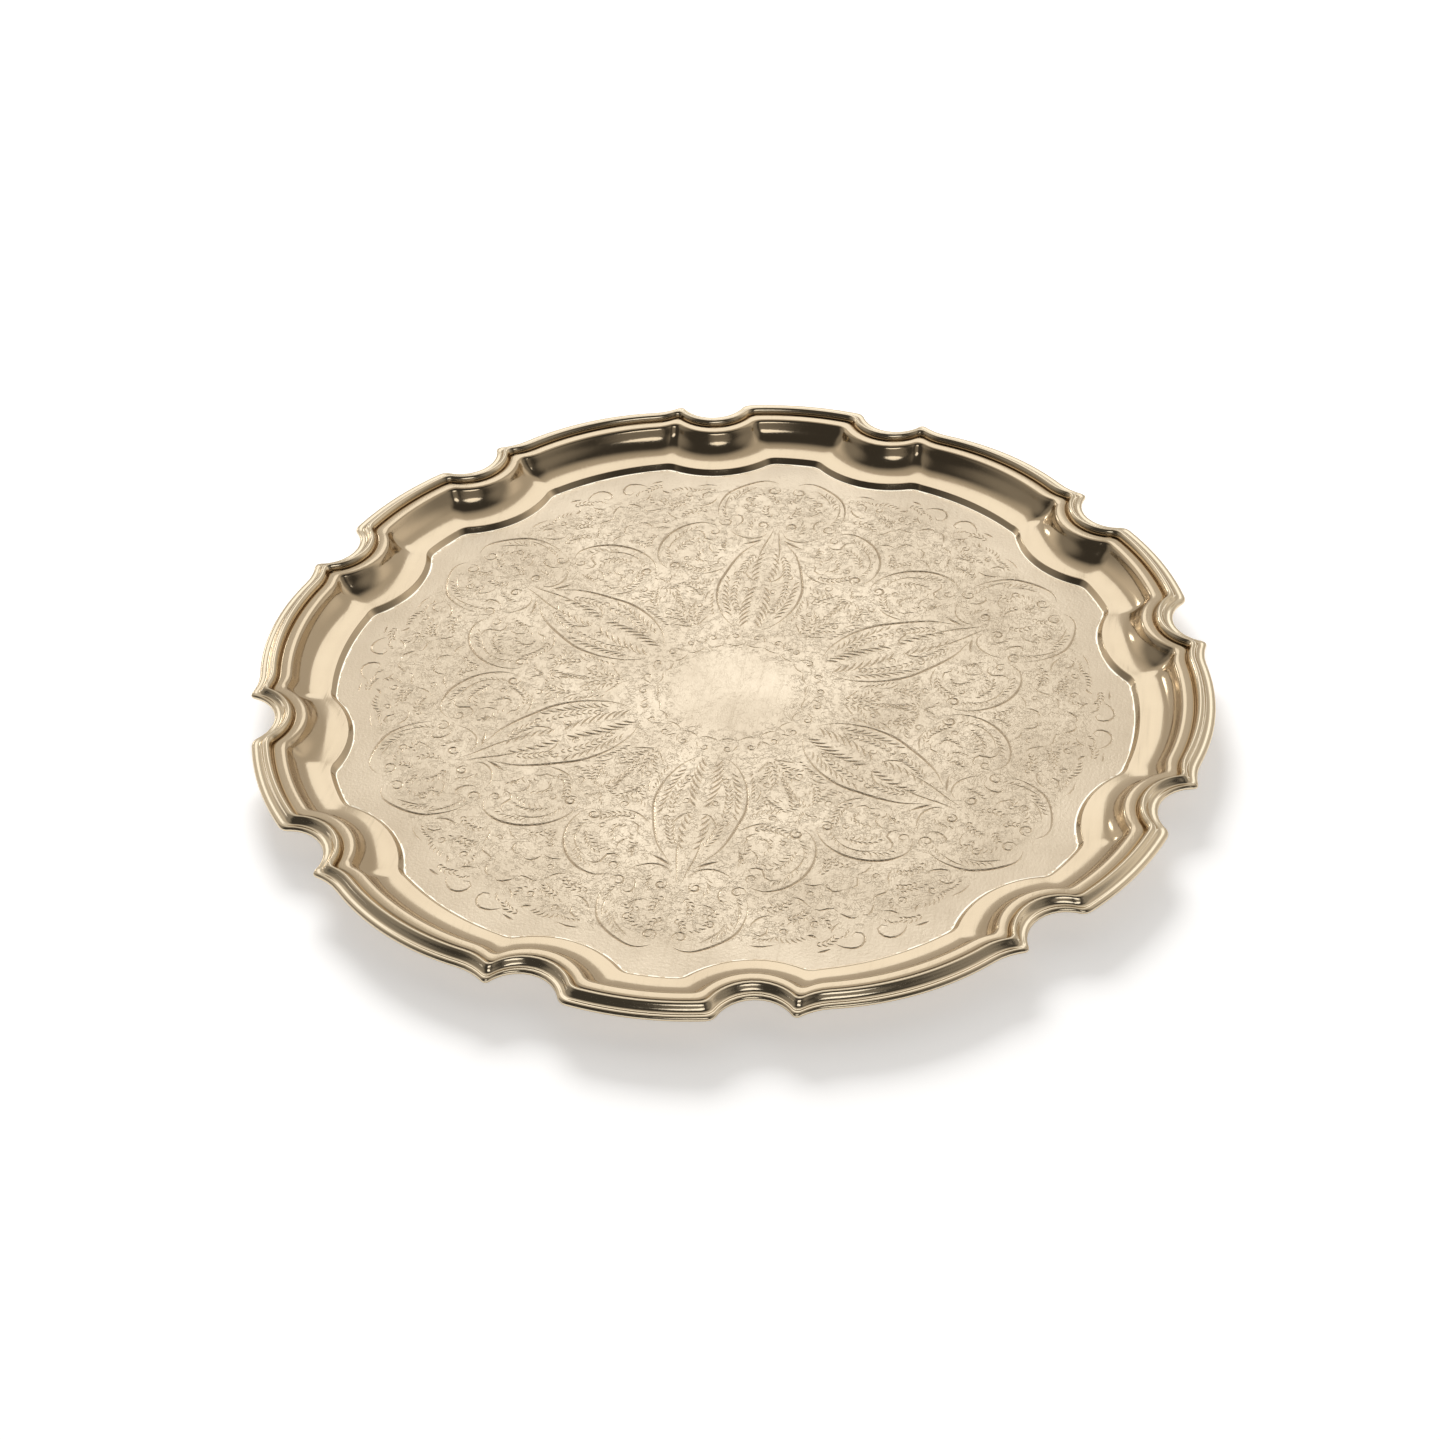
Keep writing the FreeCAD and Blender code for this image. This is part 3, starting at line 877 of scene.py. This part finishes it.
def brass(name, clean, tarnish, roughness, hollows, cloud_mix, grain_depth):
    """A brass finish: clouded metal, tarnish in the hollows, scratches, a fine grain and a
    painted highlight along the floor's rounded edge.
    """
    material, shader = start_material(name, clean)
    tree = material.node_tree
    place = tree.nodes.new("ShaderNodeTexCoord").outputs["Object"]
    wear = add_node(tree, "ShaderNodeGroup",
                    node_tree=bpy.data.node_groups.get("Metal wear") or wear_group())
    tree.links.new(place, wear.inputs["Position"])
    cloud, scratches, grain = (wear.outputs[n] for n in ("Cloud", "Scratches", "Grain"))
    mask, polish, chased = hollows(tree, place)
    clouds = ramp(tree, cloud, *CLOUDED, high=cloud_mix)
    amount = maths(tree, "MAXIMUM", clouds, mask, use_clamp=True)
    colour = mixed(tree, amount, (*clean, 1), (*tarnish, 1))
    # Painted highlight: the floor's rounded edge, at the foot of the wall, is painted pale.
    edge_highlight = ramp(tree, attribute(tree, "inset"), *EDGE_HIGHLIGHT_INSETS)
    tree.links.new(mixed(tree, edge_highlight, colour, EDGE_HIGHLIGHT_COLOUR), shader.inputs["Base Color"])
    spread = ramp(tree, cloud, *CLOUD_RISE, *(roughness * share for share in CLOUD_SPREAD))
    rough = maths(tree, "ADD", spread, maths(tree, "MULTIPLY", scratches, SCRATCH_ROUGHNESS))
    tree.links.new(maths(tree, "MULTIPLY", rough, polish), shader.inputs["Roughness"])
    height = maths(tree, "MULTIPLY", grain, grain_depth)
    for field, depth in ((scratches, SCRATCH_DEPTH), (chased, CHASED_DEPTH)):
        height = maths(tree, "SUBTRACT", height, maths(tree, "MULTIPLY", field, depth))
    bump = add_node(tree, "ShaderNodeBump", {"Height": height, "Distance": 1.0})
    tree.links.new(bump.outputs[0], shader.inputs["Normal"])
    return material


def fine_chasing(tree, place):
    """Depth, 0 to 1, of the fine broken curls chased all over the ground of the floor."""
    lines = 0.0
    for size, width in CURLS:
        field = noise(tree, place, size, detail=1.0, distortion=0.8)
        away = maths(tree, "ABSOLUTE", maths(tree, "SUBTRACT", field, 0.5))
        line = ramp(tree, away, 0.0, width, 1.0, 0.0, interpolation_type="SMOOTHSTEP")
        lines = maths(tree, "MAXIMUM", lines, line)
    size, start, end = CURL_BREAKS
    return maths(tree, "MULTIPLY", lines, ramp(tree, noise(tree, place, size), start, end))


def cut_mask(tree, place):
    """Darkens the engraved cuts and the fine curls; the bright faces of cuts are smoother."""
    cut = attribute(tree, "cut")
    dark, polish = ramp(tree, cut, *CUT_TARNISH), ramp(tree, cut, *CUT_POLISH)
    reach = add_node(tree, "ShaderNodeVectorMath", {0: place},
                     operation="LENGTH").outputs["Value"]
    ground = maths(tree, "MULTIPLY", ramp(tree, reach, *CHASED_REACH),
                   ramp(tree, reach, *PLAIN_MIDDLE))
    chased = maths(tree, "MULTIPLY", fine_chasing(tree, place), ground)
    soiled = maths(tree, "MULTIPLY", chased, CHASED_TARNISH)
    return maths(tree, "MAXIMUM", dark, soiled), polish, chased


def groove_mask(tree, place):
    """Darkens the seam inside the border and the hollow between its two beads."""
    inset = attribute(tree, "inset")
    mask = 0.0
    for hollow, width, most in HOLLOWS:
        away = maths(tree, "ABSOLUTE", maths(tree, "SUBTRACT", inset, hollow))
        mask = maths(tree, "MAXIMUM", mask, ramp(tree, away, 0.0, width, most, 0.0))
    return mask, 1.0, 0.0


# ---------------------------------------------------------------- pieces
def finish_piece(obj, node):
    """Fixes a piece to the one rigid body, in the place of its node."""
    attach(obj, "root")
    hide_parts(node)


def engraved_floor(sizes, satin):
    """The whole floor: half a sector with its cuts, its mirror image, and the turns of both."""
    cuts = [(line, width * sizes.cut_width) for line, width in motif()]
    flat, faces, depths = cut_half_sector(cuts, sizes.cut_slope)
    count = len(flat)
    both = np.concatenate((flat, mirrored(flat, LONG_AXIS)[::-1])) * MM
    heights = sizes.floor_top - np.tile(depths, 2) * MM
    turned_over = [tuple(count + n for n in reversed(face)) for face in faces]
    piece = mesh_object("floor_sector", np.column_stack((both, heights)), (),
                        faces + turned_over)
    shares = np.tile(depths / max(depths.max(), FAINTEST_CUT), 2)
    marks = piece.data.attributes.new("cut", "FLOAT", "POINT")
    marks.data.foreach_set("value", shares.astype(np.float32))
    tree = bpy.data.node_groups.get("Repeat round the centre") or around_tree()
    floor = run_tree(piece, tree, {"Count": SIDES, "Merge distance": WELD, "Material": satin})
    remove(piece)
    return floor


def joined(name, rim, floor, polished, satin):
    """Joins the wall to the engraved floor, closes the underside and sets the shading."""
    build = bmesh.new()
    build.from_mesh(rim)
    smooth = len(build.faces)
    build.from_mesh(floor)
    build.faces.ensure_lookup_table()
    for number, face in enumerate(build.faces):
        face.smooth = number < smooth
        face.material_index = 0 if number < smooth else 1
    bmesh.ops.remove_doubles(build, verts=build.verts, dist=WELD)
    rim_edges = [edge for edge in build.edges if edge.is_boundary]
    filled = bmesh.ops.contextual_create(build, geom=rim_edges)["faces"]
    for face in filled:
        face.material_index = 0
        face.smooth = False
    bmesh.ops.triangulate(build, faces=filled)
    bmesh.ops.recalc_face_normals(build, faces=build.faces)
    mesh = bpy.data.meshes.new(name)
    build.to_mesh(mesh)
    build.free()
    mesh.materials.append(polished)
    mesh.materials.append(satin)
    for old in (rim, floor):
        bpy.data.meshes.remove(old)
    return add_object(name, mesh)


def border_strip(name, lobe, short, gap, polished):
    """One border strip, smooth along its moulding and sharp at its mitres."""
    outer, inner = (shortened(strip_outline(inset, lobe, short), gap) for inset in (0, BAND))
    mesh = swept(name, outer, inner, strip_profile(), polished)
    build = bmesh.new()
    build.from_mesh(mesh)
    bmesh.ops.recalc_face_normals(build, faces=build.faces)
    for face in build.faces:
        face.smooth = len(face.verts) <= 4     # the flat mitred ends have more corners
    for edge in build.edges:
        if len(edge.link_faces) == 2 and edge.calc_face_angle(0) > SHARP_EDGE:
            edge.smooth = False
    build.to_mesh(mesh)
    build.free()
    return add_object(name, mesh)


# ---------------------------------------------------------------- stage
SENSOR_WIDTH = 36.0          # millimetres
STAGE_REACH = 3.0            # from the centre of the plain floor to its sides, in metres
STAGE_GLOW = 0.385           # light of the plain floor's own, which keeps it pale
WARM, WHITE = (1.0, 0.93, 0.84), (1.0, 1.0, 1.0)
WHITENING = 3.0              # how fast the high glow turns the warm light white

# Glows of the soft studio: share of the camera's side in their direction, the rest of it, the
# cosines between which they turn on, and how strong they are before and after.
GLOWS = {
    "far": (1, (-0.25, 0, 0), 0.08, -0.40, 0.055, 0.61),
    "high": (-1, (0, 0, 0.82), 0.86, 0.995, 0.0, 0.14),
    "near": (1, (0.12, 0, 0.34), 0.90, 0.995, 0.0, 0.2),
    "left": (0, (-1, 0, 0.45), 0.72, 0.97, 0.0, 0.24),
    "right": (0, (1, 0, 0.45), 0.72, 0.97, 0.0, 0.24),
}

# Lamps: name, place, size, power, colour and whether the brass mirrors them.
LAMPS = (
    ("front lamp", (0.35, -1.3, 1.15), (0.95, 0.7), 2.4, WHITE, True),
    ("left lamp", (-1.0, 0.9, 0.55), (0.3, 0.2), 0.6, WHITE, True),
    ("centre lamp", (-0.118, 0.60, 0.53), (0.40, 0.40), 0.31, (0.95, 1.0, 1.08), True),
    ("floor lamp", (-0.55, 1.5, 0.85), (1.1, 0.6), 38.0, WHITE, False),
)


def camera_side(stage):
    """The level direction from the tray to the camera."""
    return Vector((math.sin(stage.azimuth), -math.cos(stage.azimuth), 0))


def lay_floor(stage):
    """The plain pale floor that the tray stands on."""
    corners = [(x * STAGE_REACH, y * STAGE_REACH, 0)
               for x, y in ((-1, -1), (1, -1), (1, 1), (-1, 1))]
    floor = mesh_object("stage_floor", corners, (), [(0, 1, 2, 3)])
    material, shader = start_material("Plain floor", stage.floor_colour)
    for socket, value in (("Metallic", 0.0), ("Base Color", (*stage.floor_colour, 1)),
                          ("Roughness", 0.9), ("Emission Color", (*WHITE, 1)),
                          ("Emission Strength", STAGE_GLOW)):
        shader.inputs[socket].default_value = value
    floor.data.materials.append(material)


def place_camera(scene, stage):
    """The camera, aimed at the middle of the tray's floor."""
    data = bpy.data.cameras.new("camera")
    camera = add_object("camera", data)
    scene.camera = camera
    data.lens, data.sensor_width = stage.lens, SENSOR_WIDTH
    data.shift_x, data.shift_y = stage.shift
    data.clip_start = 0.01
    away = (camera_side(stage) * math.cos(stage.elevation)
            + Vector((0, 0, math.sin(stage.elevation))))
    right = Vector((0, 0, 1)).cross(away).normalized()
    up = away.cross(right)
    turn, lean = math.cos(stage.roll), math.sin(stage.roll)
    side, top = right * turn + up * lean, up * turn - right * lean
    middle = Vector((0, 0, scene.tray_sizes.floor_top))
    camera.matrix_world = Matrix((side, top, away)).transposed().to_4x4()
    camera.location = middle + away * stage.distance


def light_studio(scene, stage):
    """The soft surroundings that the brass mirrors, warm except at the high glow."""
    scene.world = bpy.data.worlds.new("Soft studio")
    scene.world.use_nodes = True
    tree = scene.world.node_tree
    tree.nodes.clear()
    place = tree.nodes.new("ShaderNodeTexCoord").outputs["Generated"]
    glows, total = {}, 0.0
    for name, (share, rest, *reach) in GLOWS.items():
        direction = (camera_side(stage) * share + Vector(rest)).normalized()
        facing = add_node(tree, "ShaderNodeVectorMath", {0: place, 1: direction},
                          operation="DOT_PRODUCT").outputs["Value"]
        glows[name] = ramp(tree, facing, *reach, interpolation_type="SMOOTHSTEP")
        total = maths(tree, "ADD", total, glows[name])
    whiteness = maths(tree, "MULTIPLY", glows["high"], WHITENING, use_clamp=True)
    tint = mixed(tree, whiteness, (*WARM, 1), (*WHITE, 1))
    back = add_node(tree, "ShaderNodeBackground", {"Color": tint, "Strength": total})
    add_node(tree, "ShaderNodeOutputWorld", {"Surface": back.outputs[0]})


def hang_lamps():
    """The soft lamps, each turned towards the tray."""
    for name, place, (width, depth), power, colour, mirrored_too in LAMPS:
        lamp = bpy.data.lights.new(name, "AREA")
        lamp.shape, lamp.size, lamp.size_y = "ELLIPSE", width, depth
        lamp.energy, lamp.color = power, colour
        obj = add_object(name, lamp)
        obj.location = place
        obj.rotation_euler = Vector(place).to_track_quat("Z", "Y").to_euler()
        obj.visible_glossy = mirrored_too


# ---------------------------------------------------------------- operators
class TRAY_OT_pan(bpy.types.Operator):
    """Makes the pressed pan: engraved floor, step, hollow wall, rolled top and flange"""
    bl_idname = "tray.make_pan"
    bl_label = "Pan"

    def execute(self, context):
        sizes, finish = context.scene.tray_sizes, context.scene.tray_finish
        polished = brass("Polished brass", finish.polished, finish.tarnish,
                         finish.wall_roughness, groove_mask, cloud_mix=0.16, grain_depth=0.0)
        satin = brass("Satin engraved brass", finish.satin, finish.tarnish,
                      finish.floor_roughness, cut_mask, cloud_mix=0.12,
                      grain_depth=GRAIN_DEPTH)
        rim = swept("pan_wall", whole_outline(0), whole_outline(BAND), pan_profile(), polished)
        obj = joined("tray_pan_visual", rim, engraved_floor(sizes, satin), polished, satin)
        finish_piece(obj, "tray_pan")
        return {"FINISHED"}


class TRAY_OT_border(bpy.types.Operator):
    """Makes the twelve mitred border strips"""
    bl_idname = "tray.make_border"
    bl_label = "Border strips"

    def execute(self, context):
        sizes, finish = context.scene.tray_sizes, context.scene.tray_finish
        # The border's paler brass colour carries a painted highlight.
        polished = brass("Polished border brass", finish.border, finish.tarnish,
                         finish.wall_roughness, groove_mask, cloud_mix=0.12, grain_depth=0.0)
        gap = sizes.mitre_gap / MM / 2
        for lobe in range(SIDES):
            for kind in ("short", "long"):
                node = "border_%s_%d" % (kind, lobe + 1)
                obj = border_strip(node + "_visual", lobe, kind == "short", gap, polished)
                finish_piece(obj, node)
        return {"FINISHED"}


class TRAY_OT_stage(bpy.types.Operator):
    """Makes the plain floor, the soft light and the camera"""
    bl_idname = "tray.make_stage"
    bl_label = "Stage"

    def execute(self, context):
        scene, stage = context.scene, context.scene.tray_stage
        lay_floor(stage)
        place_camera(scene, stage)
        light_studio(scene, stage)
        hang_lamps()
        scene.view_settings.view_transform = "Standard"
        return {"FINISHED"}


class TRAY_PT_panel(bpy.types.Panel):
    """Lists the tray's pieces and settings"""
    bl_idname = "TRAY_PT_panel"
    bl_label = "Tray"
    bl_space_type = "VIEW_3D"
    bl_region_type = "UI"
    bl_category = "Tray"

    def draw(self, context):
        for name, kind in SETTINGS.items():
            box = self.layout.box()
            for setting in kind.__annotations__:
                box.prop(getattr(context.scene, name), setting)
        for operator in OPERATORS:
            self.layout.operator(operator.bl_idname)


SETTINGS = {"tray_sizes": TraySizes, "tray_finish": TrayFinish, "tray_stage": TrayStage}
OPERATORS = (TRAY_OT_pan, TRAY_OT_border, TRAY_OT_stage)
CLASSES = (*SETTINGS.values(), *OPERATORS, TRAY_PT_panel)


def register():
    for kind in CLASSES:
        bpy.utils.register_class(kind)
    for name, kind in SETTINGS.items():
        setattr(bpy.types.Scene, name, bpy.props.PointerProperty(type=kind))


def unregister():
    for name in SETTINGS:
        delattr(bpy.types.Scene, name)
    for kind in reversed(CLASSES):
        bpy.utils.unregister_class(kind)


def main():
    register()
    bpy.ops.tray.make_pan()
    bpy.ops.tray.make_border()
    bpy.ops.tray.make_stage()
    bpy.context.view_layer.update()


if __name__ == "__main__":
    main()
